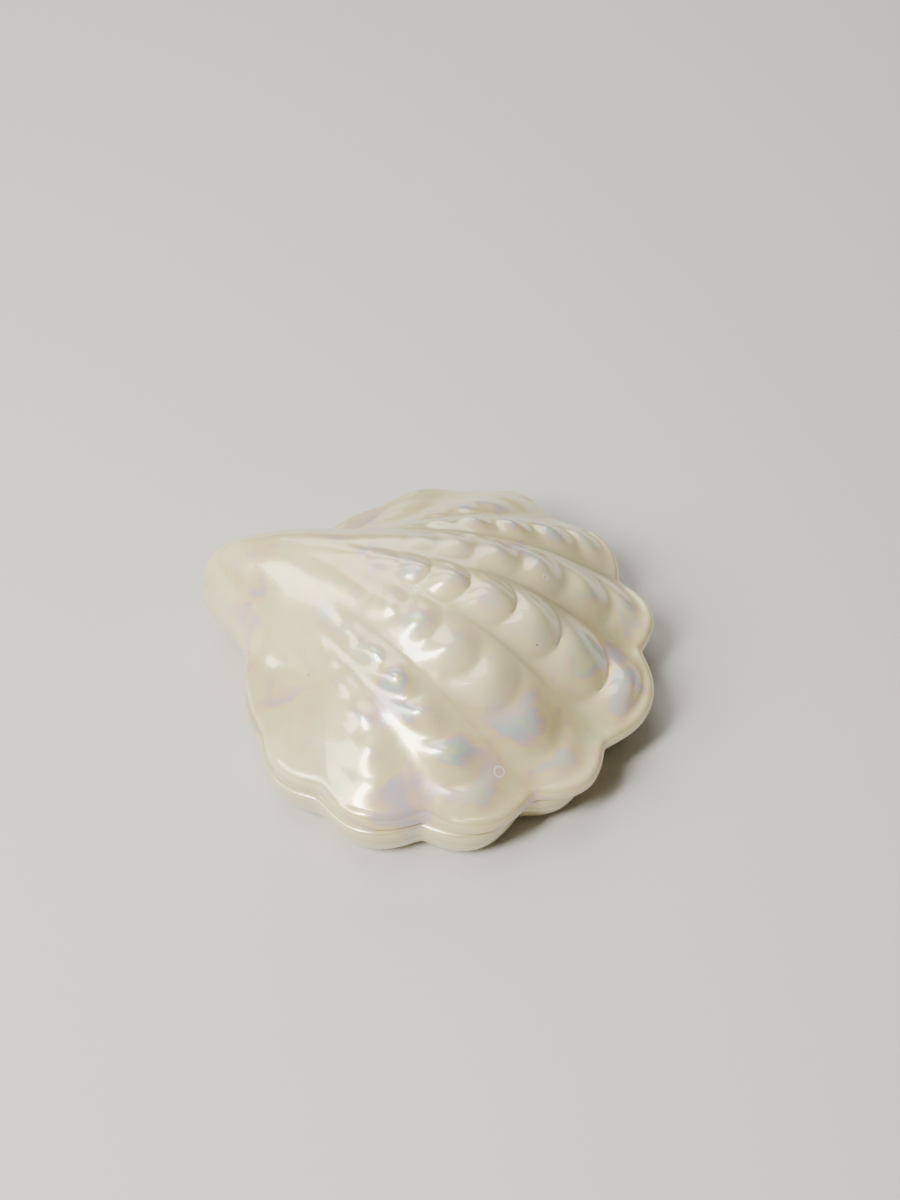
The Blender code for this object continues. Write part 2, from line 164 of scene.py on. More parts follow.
@dataclass
class ShellPlan:
    """Plan of the shell's edge and of the rays that run to it."""

    nose_tip_x: float = 0.0018
    nose_pull: float = 0.0084
    nose_pull_spread: float = 0.6
    waist_pull: Pair = (0.0180, 0.0131)
    waist_pull_spread: Pair = (-0.6, 0.8)
    waist: Pair = (0.0267, 0.0236)
    fan_centre_x: float = 0.0750
    valley_radii: Tuple[float, ...] = (0.0598, 0.0598, 0.0601, 0.0599, 0.0567)
    valley_angles_deg: Tuple[float, ...] = (17.4, 42.9, 72.3, 101.2, 126.8)
    lobe_depths: Tuple[float, ...] = (0.0050, 0.0049, 0.0049, 0.0043, 0.0032, 0.0004)
    lobe_roundness: float = 1.03
    valley_softness: float = 0.12
    apex_x: float = 0.0200
    valley_starts_deg: Tuple[float, ...] = (7.2, 23.5, 34.0, 44.0, 57.0, 72.0)
    ray_bend: float = 4.0
    waist_ray: float = 5.5
    nose_ray: float = 8.0
    base_fan_inset: float = 0.0058
    base_nose_inset: float = 0.0053
    base_fan_power: float = 1.5
    base_nose_start: float = 0.8

    def nose_curve(self, share: np.ndarray, offset: float = 0.0) -> np.ndarray:
        """Nose's edge from its tip to the waist.

        Args:
            share: Shares of the way, 0 at the tip and 1 at the waist.
            offset: Distance that the edge is moved outwards.

        Returns:
            Plan points, one pair for each share.
        """
        waist = np.array([self.waist[0] - self.fan_centre_x, self.waist[1]])
        end = waist * (1.0 + offset / np.hypot(*waist)) + (self.fan_centre_x, 0.0)
        start = np.array([self.nose_tip_x - offset, 0.0])
        pull_start = np.array([self.nose_tip_x - offset, self.nose_pull + self.nose_pull_spread * offset])
        pull_end = np.array(self.waist_pull) + np.array(self.waist_pull_spread) * offset
        s = np.asarray(share, dtype=float)[..., None]
        return (
            (1.0 - s) ** 3 * start
            + 3.0 * s * (1.0 - s) ** 2 * pull_start
            + 3.0 * s * s * (1.0 - s) * pull_end
            + s ** 3 * end
        )

    def rib_place(self, ray: np.ndarray) -> Tuple[np.ndarray, np.ndarray]:
        """Find the rib that each ray belongs to.

        Args:
            ray: Ray numbers.

        Returns:
            Rib numbers, and places across the rib from -0.5 to 0.5.
        """
        rib = np.clip(np.floor(ray + 0.5).astype(int), 0, len(self.lobe_depths) - 1)
        return rib, np.where(ray > self.waist_ray, 0.5, ray - rib)

    def lid_edge(self, ray: np.ndarray, offset: float = 0.0) -> Plan:
        """Plan of the lid's edge.

        Args:
            ray: Ray numbers.
            offset: Distance that the edge is moved outwards.

        Returns:
            Plan x and y for each ray.
        """
        waist_angle = np.degrees(np.arctan2(self.waist[1], self.waist[0] - self.fan_centre_x))
        waist_radius = np.hypot(self.waist[1], self.waist[0] - self.fan_centre_x)
        valley_rays = np.arange(len(self.valley_angles_deg) + 2) - 0.5
        angles = (-self.valley_angles_deg[0],) + self.valley_angles_deg + (waist_angle,)
        radii = (self.valley_radii[0],) + self.valley_radii + (waist_radius,)
        fan_ray = np.clip(ray, 0.0, self.waist_ray)
        angle = np.radians(np.interp(fan_ray, valley_rays, angles))
        rib, across = self.rib_place(fan_ray)
        soft = self.valley_softness
        arch = np.sqrt(np.cos(np.pi * across) ** 2 + soft ** 2) - soft
        arch = arch / (np.sqrt(1.0 + soft ** 2) - soft)
        radius = np.interp(fan_ray, valley_rays, radii) + offset
        radius = radius + np.array(self.lobe_depths)[rib] * arch ** self.lobe_roundness
        nose_share = (self.nose_ray - ray) / (self.nose_ray - self.waist_ray)
        nose = self.nose_curve(np.clip(nose_share, 0.0, 1.0), offset)
        on_nose = ray > self.waist_ray
        x = np.where(on_nose, nose[..., 0], self.fan_centre_x + radius * np.cos(angle))
        y = np.where(on_nose, nose[..., 1], radius * np.sin(angle))
        return x, y

    def base_edge(self, ray: np.ndarray, offset: float = 0.0) -> Plan:
        """Plan of the base's edge, which is shorter than the lid's at both ends.

        Args:
            ray: Ray numbers.
            offset: Distance that the edge is moved outwards.

        Returns:
            Plan x and y for each ray.
        """
        x, y = self.lid_edge(ray, offset)
        towards_fan = (x - self.fan_centre_x) / np.hypot(x - self.fan_centre_x, y)
        fan_end = np.clip(towards_fan, 0.0, 1.0) ** self.base_fan_power
        nose_end = (-towards_fan - self.base_nose_start) / (1.0 - self.base_nose_start)
        nose_end = np.clip(nose_end, 0.0, 1.0)
        return x - self.base_fan_inset * fan_end + self.base_nose_inset * nose_end, y

    def reach(self, edge: Plan) -> np.ndarray:
        """Length of each ray from the apex to the edge."""
        return np.hypot(edge[0] - self.apex_x, edge[1])

    def point(self, ray: np.ndarray, share: np.ndarray, edge: Plan) -> Plan:
        """Plan points at a share of each ray's length.

        Args:
            ray: Ray numbers.
            share: Share of the ray's length, 0 at the apex and 1 at the edge.
            edge: Plan x and y of the edge for each ray.

        Returns:
            Plan x and y for each ray.
        """
        reach = self.reach(edge)
        end_angle = np.degrees(np.arctan2(edge[1], edge[0] - self.apex_x))
        starts = [(0.0, 0.0)] + [(i + 0.5, angle) for i, angle in enumerate(self.valley_starts_deg)]
        start_angle = smooth_curve(starts + [(self.nose_ray, 180.0)], ray)
        angle = np.radians(start_angle + (end_angle - start_angle) * share ** self.ray_bend)
        return self.apex_x + share * reach * np.cos(angle), share * reach * np.sin(angle)

    def middle_x(self) -> float:
        """Plan x of the lid's middle, where the frame has its origin."""
        return 0.5 * (self.nose_tip_x + float(self.lid_edge(np.zeros(1))[0][0]))


@dataclass
class ShellDome:
    """Smooth form of the lid's top, without its ribs and beads."""

    plan: ShellPlan
    crest: Tuple[Pair, ...] = (
        (0.0015, 0.0024), (0.0030, 0.0095), (0.0080, 0.0188), (0.0170, 0.0249), (0.0290, 0.0293),
        (0.0410, 0.0320), (0.0550, 0.0330), (0.0650, 0.0332), (0.0750, 0.0327), (0.0850, 0.0312),
        (0.0980, 0.0270), (0.1070, 0.0216), (0.1160, 0.0146), (0.1220, 0.0096), (0.1290, 0.0054),
        (0.1335, 0.0040), (0.1370, 0.0),
    )
    ridge_half_widths: Tuple[Pair, ...] = (
        (0.0100, 0.0186), (0.0170, 0.0204), (0.0280, 0.0244), (0.0410, 0.0276), (0.0600, 0.0372),
    )
    ridge_from_to: Pair = (0.0120, 0.0240)
    ridge_edge_share: float = 0.97
    ridge_round_from_to: Pair = (0.0100, 0.0280)
    nose_round_power: float = 0.5
    ridge_round_power: float = 1.5
    ridge_foot_softness: float = 0.30
    ridge_foot_from_to: Pair = (0.0140, 0.0280)
    skirt_from_to: Pair = (0.0140, 0.0360)
    skirt_top: float = 0.0110
    skirt_edge: float = 0.0042
    skirt_power: float = 1.6
    fan_from_to: Pair = (0.0360, 0.0780)
    fan_drop: float = 1.0
    fan_power: float = 1.25
    fan_crest_softness: float = 0.12
    side_circle_radius: float = 0.0620
    side_circle_from_x: float = 0.0500
    side_half_widths: Tuple[Pair, ...] = ((0.0290, 0.0282), (0.0340, 0.0385), (0.0410, 0.0485))
    nose_samples: int = 40
    nose_sample_step: int = 3
    least_half_width: float = 0.0005

    def half_width(self, x: np.ndarray) -> np.ndarray:
        """Half width of the lid at x with its lobes left out.

        Args:
            x: Plan x.

        Returns:
            Half widths.
        """
        nose = self.plan.nose_curve(np.linspace(0.0, 1.0, self.nose_samples))
        radius = self.side_circle_radius
        centre = self.plan.fan_centre_x
        start = np.sqrt(radius ** 2 - (self.side_circle_from_x - centre) ** 2)
        side = [tuple(point) for point in nose[:-1:self.nose_sample_step]]
        side += [*self.side_half_widths, (self.side_circle_from_x, start)]
        circle = np.sqrt(np.clip(radius ** 2 - (x - centre) ** 2, 0.0, None))
        return np.where(x > self.side_circle_from_x, circle, smooth_curve(side, x))

    def height(self, x: np.ndarray, y: np.ndarray) -> np.ndarray:
        """Height of the smooth form above the lid's rim.

        Args:
            x: Plan x.
            y: Plan y.

        Returns:
            Heights.
        """
        crest = smooth_curve(self.crest, x)
        half_width = np.maximum(self.half_width(x), self.least_half_width)
        share = np.clip(np.abs(y) / half_width, 0.0, 1.0)
        soft_share = np.sqrt(share ** 2 + self.fan_crest_softness ** 2) - self.fan_crest_softness
        fan = crest * (1.0 - self.fan_drop * soft_share ** self.fan_power)
        nose_width = half_width / self.ridge_edge_share
        ridge_width = smooth_curve(self.ridge_half_widths, x) - nose_width
        ridge_width = nose_width + ridge_width * smooth_step(*self.ridge_from_to, x)
        round_mix = smooth_step(*self.ridge_round_from_to, x)
        round_power = self.nose_round_power + (self.ridge_round_power - self.nose_round_power) * round_mix
        inner = np.maximum(1.0 - (y / ridge_width) ** 2, -1.0)
        foot = self.ridge_foot_softness * smooth_step(*self.ridge_foot_from_to, x)
        ridge = np.maximum(0.5 * (inner + np.sqrt(inner ** 2 + foot ** 2)), 0.0) ** round_power
        skirt = self.skirt_top + (self.skirt_edge - self.skirt_top) * share ** self.skirt_power
        skirt = skirt * smooth_step(*self.skirt_from_to, x)
        low = skirt + (crest - skirt) * ridge
        fan_mix = smooth_step(*self.fan_from_to, x)
        return low * (1.0 - fan_mix) + fan * fan_mix


@dataclass
class ShellRelief:
    """Ribs and the beads along them."""

    plan: ShellPlan
    rib_heights: Tuple[float, ...] = (0.0013, 0.0014, 0.0014, 0.0011, 0.0007, 0.0002)
    bead_heights: Tuple[float, ...] = (0.0032, 0.0019, 0.0018, 0.0005, 0.0001, 0.0)
    bead_end_softness: Tuple[float, ...] = (0.85, 1.80, 2.00, 2.00, 2.00, 2.00)
    bead_side_softness: Tuple[float, ...] = (1.1, 2.5, 2.5, 2.4, 2.2, 2.0)
    bead_ends: Tuple[float, ...] = (0.225, 0.300, 0.379, 0.457, 0.552, 0.663, 0.771, 0.890, 1.0)
    bead_arc: float = 0.014
    bead_first_size: float = 0.20
    bead_growth_from_to: Pair = (0.28, 0.80)
    lobe_bead_size: float = 0.80
    lobe_bead_skew: float = 0.9
    lobe_bead_fall: float = 0.85
    ribs_from_to: Pair = (0.15, 0.50)
    rib_delays: Tuple[float, ...] = (0.0, 0.05, 0.10, 0.16, 0.22, 0.35)
    arc_full_ring: float = 0.70
    arc_fade_ring: float = 0.93

    def sweep(self, ray: np.ndarray, ring: float) -> np.ndarray:
        """How far a bead's end curves back towards the apex beside its rib's middle.

        Args:
            ray: Ray numbers.
            ring: Ring number.

        Returns:
            Shares of the ray's length.
        """
        across = self.plan.rib_place(ray)[1]
        fade = smooth_step(self.ribs_from_to[0], self.arc_full_ring, ring)
        fade = fade * (1.0 - smooth_step(self.arc_fade_ring, 1.0, ring))
        return self.bead_arc * (2.0 * across) ** 2 * fade

    def mound(self, ray: np.ndarray, ring: float) -> np.ndarray:
        """Rounded form of the bead at a ring, from 0 at its border to 1 at its top.

        Args:
            ray: Ray numbers.
            ring: Ring number that follows the beads' ends.

        Returns:
            Shares of the bead's height.
        """
        if ring < self.bead_ends[0]:
            return np.zeros_like(ray)
        last = len(self.bead_ends) - 2
        bead = min(int(np.searchsorted(self.bead_ends, ring, side="right")) - 1, last)
        along = (ring - self.bead_ends[bead]) / (self.bead_ends[bead + 1] - self.bead_ends[bead])
        if bead == last:
            along = along ** self.lobe_bead_skew
        from_middle = abs(2.0 * along - 1.0)
        if bead == last and along > 0.5:
            from_middle = self.lobe_bead_fall * from_middle
        ribs = np.arange(len(self.bead_heights))
        end_softness = np.interp(ray, ribs, self.bead_end_softness)
        side_softness = np.interp(ray, ribs, self.bead_side_softness)
        lengthwise = max(np.cos(0.5 * np.pi * from_middle), 0.0) ** end_softness
        crosswise = np.abs(np.cos(np.pi * self.plan.rib_place(ray)[1])) ** side_softness
        return lengthwise * crosswise

    def onset(self, ray: np.ndarray, ring: float, from_to: Pair) -> np.ndarray:
        """Share of the relief that has risen at a ring, later for ribs nearer the waist.

        Args:
            ray: Ray numbers.
            ring: Ring number that follows the beads' ends.
            from_to: Rings between which the rib on the mirror plane rises.

        Returns:
            Shares from 0 to 1.
        """
        late = np.interp(ray, np.arange(len(self.rib_delays)), self.rib_delays)
        return smooth_step(from_to[0] + late, from_to[1] + late, ring)

    def height(self, ray: np.ndarray, ring: float) -> np.ndarray:
        """Height of ribs and beads above the smooth form.

        Args:
            ray: Ray numbers.
            ring: Ring number that follows the beads' ends.

        Returns:
            Heights.
        """
        ribs = np.arange(len(self.rib_heights))
        across = self.plan.rib_place(ray)[1]
        rib = np.interp(ray, ribs, self.rib_heights)
        rib = rib * np.cos(np.pi * across) ** 2
        growth = smooth_step(*self.bead_growth_from_to, ring)
        size = self.bead_first_size + (1.0 - self.bead_first_size) * growth
        if ring >= self.bead_ends[-2]:
            size = self.lobe_bead_size
        bead = np.interp(ray, ribs, self.bead_heights) * size * self.mound(ray, ring)
        return (rib + bead) * self.onset(ray, ring, self.ribs_from_to)


def feed(tree: bpy.types.NodeTree, socket: bpy.types.NodeSocket, value: Feed) -> None:
    """Link a value's socket to an input, or set the input where the value is a plain one.

    Args:
        tree: Node tree that both sockets are in.
        socket: The input.
        value: Socket to link, or a number or colour.
    """
    if isinstance(value, bpy.types.NodeSocket):
        tree.links.new(value, socket)
    else:
        socket.default_value = value


def add_place(tree: bpy.types.NodeTree) -> bpy.types.NodeSocket:
    """Add the object's own coordinates, in metres."""
    return tree.nodes.new("ShaderNodeTexCoord").outputs["Object"]


def add_noise(tree: bpy.types.NodeTree, place: bpy.types.NodeSocket, scale: float, detail: float,
              distortion: float = 0.0) -> bpy.types.NodeSocket:
    """Add a noise.

    Args:
        tree: Node tree to add to.
        place: Coordinates.
        scale: Features per metre.
        detail: How many finer octaves it has.
        distortion: How much it is stirred.

    Returns:
        The noise's value.
    """
    node = tree.nodes.new("ShaderNodeTexNoise")
    node.inputs["Scale"].default_value = scale
    node.inputs["Detail"].default_value = detail
    node.inputs["Distortion"].default_value = distortion
    tree.links.new(place, node.inputs["Vector"])
    return node.outputs["Fac"]


def add_math(tree: bpy.types.NodeTree, operation: str, *values: Feed) -> bpy.types.NodeSocket:
    """Add a sum.

    Args:
        tree: Node tree to add to.
        operation: Name of the operation.
        values: Its operands in order.

    Returns:
        The result.
    """
    node = tree.nodes.new("ShaderNodeMath")
    node.operation = operation
    for socket, value in zip(node.inputs, values):
        feed(tree, socket, value)
    return node.outputs["Value"]


def add_range(tree: bpy.types.NodeTree, value: bpy.types.NodeSocket, source: Pair = (0.0, 1.0),
              target: Pair = (0.0, 1.0)) -> bpy.types.NodeSocket:
    """Map one range of values to another, clamped at its ends.

    Args:
        tree: Node tree to add to.
        value: Value to map.
        source: Ends of the range that it comes from.
        target: Ends of the range that it goes to.

    Returns:
        The mapped value.
    """
    node = tree.nodes.new("ShaderNodeMapRange")
    node.inputs["From Min"].default_value, node.inputs["From Max"].default_value = source
    node.inputs["To Min"].default_value, node.inputs["To Max"].default_value = target
    tree.links.new(value, node.inputs["Value"])
    return node.outputs["Result"]


def add_mix(tree: bpy.types.NodeTree, share: bpy.types.NodeSocket, first: Feed, second: Feed
            ) -> bpy.types.NodeSocket:
    """Mix two colours.

    Args:
        tree: Node tree to add to.
        share: Share of the second colour.
        first: The first colour.
        second: The second colour.

    Returns:
        The mixed colour.
    """
    node = tree.nodes.new("ShaderNodeMix")
    node.data_type = "RGBA"
    sockets = [socket for socket in node.inputs if socket.type == "RGBA"]
    feed(tree, node.inputs["Factor"], share)
    feed(tree, sockets[0], first)
    feed(tree, sockets[1], second)
    return next(socket for socket in node.outputs if socket.type == "RGBA")


def add_ramp(tree: bpy.types.NodeTree, value: bpy.types.NodeSocket,
             stops: Sequence[Tuple[float, Colour]], interpolation: str = "LINEAR"
             ) -> bpy.types.NodeSocket:
    """Turn a value into a colour by a ramp.

    Args:
        tree: Node tree to add to.
        value: Value to read the ramp at.
        stops: Places and colours of the ramp.
        interpolation: Name of the blend between stops.

    Returns:
        The colour.
    """
    node = tree.nodes.new("ShaderNodeValToRGB")
    node.color_ramp.interpolation = interpolation
    while len(node.color_ramp.elements) < len(stops):
        node.color_ramp.elements.new(0.5)
    for element, (position, colour) in zip(node.color_ramp.elements, stops):
        element.position = position
        element.color = colour
    tree.links.new(value, node.inputs["Fac"])
    return node.outputs["Color"]


def add_bump(tree: bpy.types.NodeTree, shader: bpy.types.Node, height: bpy.types.NodeSocket,
             distance: float) -> None:
    """Let a height shape the shader's surface.

    Args:
        tree: The material's node tree.
        shader: The material's shader.
        height: The height.
        distance: Metres that a height of 1 stands for.
    """
    bump = tree.nodes.new("ShaderNodeBump")
    bump.inputs["Distance"].default_value = distance
    tree.links.new(height, bump.inputs["Height"])
    tree.links.new(bump.outputs["Normal"], shader.inputs["Normal"])


def add_group(tree: bpy.types.NodeTree, group: bpy.types.NodeTree, values: Dict[str, Feed]
              ) -> bpy.types.bpy_prop_collection:
    """Place a node group in a material's tree.

    Args:
        tree: The material's node tree.
        group: The group to place.
        values: Values for the group's named inputs.

    Returns:
        The group's outputs.
    """
    node = tree.nodes.new("ShaderNodeGroup")
    node.node_tree = group
    for name, value in values.items():
        feed(tree, node.inputs[name], value)
    return node.outputs


def new_group(name: str, inputs: Dict[str, SocketKind], outputs: Dict[str, SocketKind]
              ) -> Tuple[bpy.types.NodeTree, bpy.types.Node, bpy.types.Node]:
    """Start a shader node group.

    Args:
        name: The group's name.
        inputs: Kind of each named input.
        outputs: Kind of each named output.

    Returns:
        The group, its input node and its output node.
    """
    group = bpy.data.node_groups.new(name, "ShaderNodeTree")
    for socket, kind in inputs.items():
        group.interface.new_socket(name=socket, in_out="INPUT", socket_type=kind.value)
    for socket, kind in outputs.items():
        group.interface.new_socket(name=socket, in_out="OUTPUT", socket_type=kind.value)
    return group, group.nodes.new("NodeGroupInput"), group.nodes.new("NodeGroupOutput")


def new_material(name: str, colour: Colour
                 ) -> Tuple[bpy.types.Material, bpy.types.NodeTree, bpy.types.Node]:
    """Start a material.

    Args:
        name: The material's name.
        colour: Its colour in a plain view.

    Returns:
        The material, its node tree and its shader.
    """
    material = bpy.data.materials.new(name)
    material.use_nodes = True
    material.diffuse_color = colour
    return material, material.node_tree, material.node_tree.nodes["Principled BSDF"]


@dataclass(frozen=True)
class LustreFilm:
    """Film whose colours repeat as its thickness grows by 1, in patches over the glaze."""

    name: str = "Lustre film"
    drift_scale: float = 95.0
    drift_detail: float = 3.0
    drift_distortion: float = 0.8
    drift_share: float = 1.7
    patch_scale: float = 38.0
    patch_detail: float = 2.0
    patch_from_to: Pair = (0.34, 0.58)
    colours: Tuple[Tuple[float, Colour], ...] = (
        (0.00, (0.82, 0.73, 0.43, 1.0)),
        (0.15, (0.86, 0.73, 0.31, 1.0)),
        (0.30, (0.82, 0.52, 0.38, 1.0)),
        (0.44, (0.56, 0.44, 0.64, 1.0)),
        (0.58, (0.36, 0.56, 0.62, 1.0)),
        (0.72, (0.46, 0.68, 0.42, 1.0)),
        (0.86, (0.82, 0.74, 0.38, 1.0)),
        (1.00, (0.82, 0.73, 0.43, 1.0)),
    )

    def group(self) -> bpy.types.NodeTree:
        """Group that colours the glaze by the thickness of its lustre film, over a cream darkened by
        painted shade.

        Returns:
            The node group, made once.
        """
        if self.name in bpy.data.node_groups:
            return bpy.data.node_groups[self.name]
        group, start, end = new_group(
            self.name,
            {"Cream": SocketKind.COLOUR, "Shaded": SocketKind.COLOUR, "Strength": SocketKind.NUMBER,
             "Film": SocketKind.NUMBER, "Pool": SocketKind.NUMBER},
            {"Colour": SocketKind.COLOUR, "Patch": SocketKind.NUMBER},
        )
        given = start.outputs
        place = add_place(group)
        drift = add_noise(group, place, self.drift_scale, self.drift_detail, self.drift_distortion)
        thickness = add_math(group, "MULTIPLY_ADD", drift, self.drift_share, given["Film"])
        tint = add_ramp(group, add_math(group, "FRACT", thickness), self.colours, "B_SPLINE")
        patches = add_noise(group, place, self.patch_scale, self.patch_detail)
        patches = add_range(group, patches, self.patch_from_to)
        amount = add_math(group, "MULTIPLY", patches, given["Strength"])
        # Painted shade: the cream is mixed towards the dark shade colour by the skin's shading share.
        glaze = add_mix(group, given["Pool"], given["Cream"], given["Shaded"])
        feed(group, end.inputs["Colour"], add_mix(group, amount, glaze, tint))
        feed(group, end.inputs["Patch"], patches)
        return group


@dataclass(frozen=True)
class GlazeWaves:
    """Slow waves and fine orange peel of a thick glaze."""

    name: str = "Glaze waves"
    wave_scale: float = 110.0
    wave_detail: float = 1.5
    peel_scale: float = 520.0
    peel_detail: float = 1.0
    peel_share: float = 0.06

    def group(self) -> bpy.types.NodeTree:
        """Group for the height of the waves and a mask that follows them.

        Returns:
            The node group, made once.
        """
        if self.name in bpy.data.node_groups:
            return bpy.data.node_groups[self.name]
        group, start, end = new_group(
            self.name,
            {"Depth": SocketKind.NUMBER},
            {"Height": SocketKind.NUMBER, "Mask": SocketKind.NUMBER},
        )
        place = add_place(group)
        waves = add_noise(group, place, self.wave_scale, self.wave_detail)
        peel = add_noise(group, place, self.peel_scale, self.peel_detail)
        both = add_math(group, "MULTIPLY_ADD", peel, self.peel_share, waves)
        feed(group, end.inputs["Height"], add_math(group, "MULTIPLY", both, start.outputs["Depth"]))
        feed(group, end.inputs["Mask"], waves)
        return group


@dataclass(frozen=True)
class GlazeSpecks:
    """Dark pinholes scattered over the glaze."""

    name: str = "Glaze specks"
    cell_scale: float = 130.0
    bare_cells: float = 0.90
    edge_from_to: Pair = (0.045, 0.020)
    colour: Colour = (0.16, 0.13, 0.10, 1.0)
    depth: float = 0.0001

    def group(self) -> bpy.types.NodeTree:
        """Group that tints the pinholes and puts out their depth.

        Returns:
            The node group, made once.
        """
        if self.name in bpy.data.node_groups:
            return bpy.data.node_groups[self.name]
        group, start, end = new_group(
            self.name,
            {"Colour": SocketKind.COLOUR},
            {"Colour": SocketKind.COLOUR, "Depth": SocketKind.NUMBER},
        )
        cells = group.nodes.new("ShaderNodeTexVoronoi")
        cells.inputs["Scale"].default_value = self.cell_scale
        feed(group, cells.inputs["Vector"], add_place(group))
        chosen = group.nodes.new("ShaderNodeSeparateColor")
        feed(group, chosen.inputs["Color"], cells.outputs["Color"])
        rare = add_math(group, "GREATER_THAN", chosen.outputs["Red"], self.bare_cells)
        dot = add_range(group, cells.outputs["Distance"], self.edge_from_to)
        mask = add_math(group, "MULTIPLY", rare, dot)
        tinted = add_mix(group, mask, start.outputs["Colour"], self.colour)
        feed(group, end.inputs["Colour"], tinted)
        feed(group, end.inputs["Depth"], add_math(group, "MULTIPLY", mask, self.depth))
        return group


@dataclass(frozen=True)
class GlazeMark:
    """Ring or pinhole in the glaze, at a point of the part's frame."""

    place: Triple
    ring_radius: float = 0.0
    edge_from_to: Pair = (0.00032, 0.00014)
    ring_colour: Colour = (0.88, 0.86, 0.80, 1.0)
    ring_height: float = 0.00006
    pinhole_colour: Colour = (0.14, 0.11, 0.08, 1.0)
    pinhole_height: float = -0.0001

    def draw(self, group: bpy.types.NodeTree, place: bpy.types.NodeSocket,
             colour: bpy.types.NodeSocket, height: bpy.types.NodeSocket
             ) -> Tuple[bpy.types.NodeSocket, bpy.types.NodeSocket]:
        """Draw the mark over a colour and a height.

        Args:
            group: Node group to add to.
            place: Coordinates.
            colour: Colour under the mark.
            height: Height under the mark.

        Returns:
            The colour and the height with the mark.
        """
        is_ring = self.ring_radius > 0.0
        away = group.nodes.new("ShaderNodeVectorMath")
        away.operation = "DISTANCE"
        away.inputs[1].default_value = self.place
        feed(group, away.inputs[0], place)
        from_line = add_math(group, "SUBTRACT", away.outputs["Value"], self.ring_radius)
        mask = add_range(group, add_math(group, "ABSOLUTE", from_line), self.edge_from_to)
        colour = add_mix(group, mask, colour, self.ring_colour if is_ring else self.pinhole_colour)
        rise = self.ring_height if is_ring else self.pinhole_height
        return colour, add_math(group, "MULTIPLY_ADD", mask, rise, height)


def glaze_mark_group(name: str, marks: Sequence[GlazeMark]) -> bpy.types.NodeTree:
    """Group that draws ring marks and pinholes at known places.

    Args:
        name: The group's name.
        marks: The marks.

    Returns:
        The new node group.
    """
    sockets = {"Colour": SocketKind.COLOUR, "Height": SocketKind.NUMBER}
    group, start, end = new_group(name, sockets, sockets)
    place = add_place(group)
    colour, height = start.outputs["Colour"], start.outputs["Height"]
    for mark in marks:
        colour, height = mark.draw(group, place, colour, height)
    feed(group, end.inputs["Colour"], colour)
    feed(group, end.inputs["Height"], height)
    return group


@dataclass(frozen=True)
class PearlGlaze:
    """Cream white lustre glaze with faint interference colours and painted shade in its creases."""

    name: str
    cream: Colour = (0.82, 0.725, 0.430, 1.0)
    # Dark colour of the painted shade in creases and under the lid.
    shade_colour: Colour = (0.34, 0.290, 0.170, 1.0)
    film_strength: float = 0.76
    roughness: float = 0.24
    roughness_spread: Pair = (0.8, 1.3)
    coat_weight: float = 1.0
    coat_roughness: float = 0.03
    coat_ior: float = 1.5
    metallic: Pair = (0.05, 0.25)
    wave_depth: float = 0.00030

    def build(self, marks: Sequence[GlazeMark] = ()) -> bpy.types.Material:
        """Make the glaze's material.

        Args:
            marks: Ring marks and pinholes at known places.

        Returns:
            The new material.
        """
        material, tree, shader = new_material(self.name, self.cream)
        values = {"Cream": self.cream, "Shaded": self.shade_colour, "Strength": self.film_strength}
        for kind in GlazeMap:
            reader = tree.nodes.new("ShaderNodeAttribute")
            reader.attribute_name = kind.value
            values[kind.value.capitalize()] = reader.outputs["Fac"]
        film = add_group(tree, LustreFilm().group(), values)
        specks = add_group(tree, GlazeSpecks().group(), {"Colour": film["Colour"]})
        waves = add_group(tree, GlazeWaves().group(), {"Depth": self.wave_depth})
        colour = specks["Colour"]
        relief = add_math(tree, "SUBTRACT", waves["Height"], specks["Depth"])
        if marks:
            group = glaze_mark_group(self.name + " marks", marks)
            marked = add_group(tree, group, {"Colour": colour, "Height": relief})
            colour, relief = marked["Colour"], marked["Height"]
        feed(tree, shader.inputs["Base Color"], colour)
        add_bump(tree, shader, relief, 1.0)
        rough = tuple(self.roughness * share for share in self.roughness_spread)
        feed(tree, shader.inputs["Roughness"], add_range(tree, waves["Mask"], target=rough))
        feed(tree, shader.inputs["Metallic"], add_range(tree, film["Patch"], target=self.metallic))
        shader.inputs["Coat Weight"].default_value = self.coat_weight
        shader.inputs["Coat Roughness"].default_value = self.coat_roughness
        shader.inputs["Coat IOR"].default_value = self.coat_ior
        return material


@dataclass(frozen=True)
class BareClay:
    """Unglazed fired clay of the foot that the box was fired on."""

    name: str = "bare_clay"
    pale: Colour = (0.78, 0.74, 0.66, 1.0)
    dark: Colour = (0.64, 0.58, 0.49, 1.0)
    dark_to_pale: Pair = (0.3, 0.6)
    roughness: float = 0.85
    grain_size: float = 0.0006
    grain_detail: float = 3.0
    grain_depth: float = 0.00006

    def build(self) -> bpy.types.Material:
        """Make the clay's material.

        Returns:
            The new material.
        """
        material, tree, shader = new_material(self.name, self.pale)
        grain = add_noise(tree, add_place(tree), 1.0 / self.grain_size, self.grain_detail)
        stops = list(zip(self.dark_to_pale, (self.dark, self.pale)))
        feed(tree, shader.inputs["Base Color"], add_ramp(tree, grain, stops))
        add_bump(tree, shader, grain, self.grain_depth)
        shader.inputs["Roughness"].default_value = self.roughness
        return material


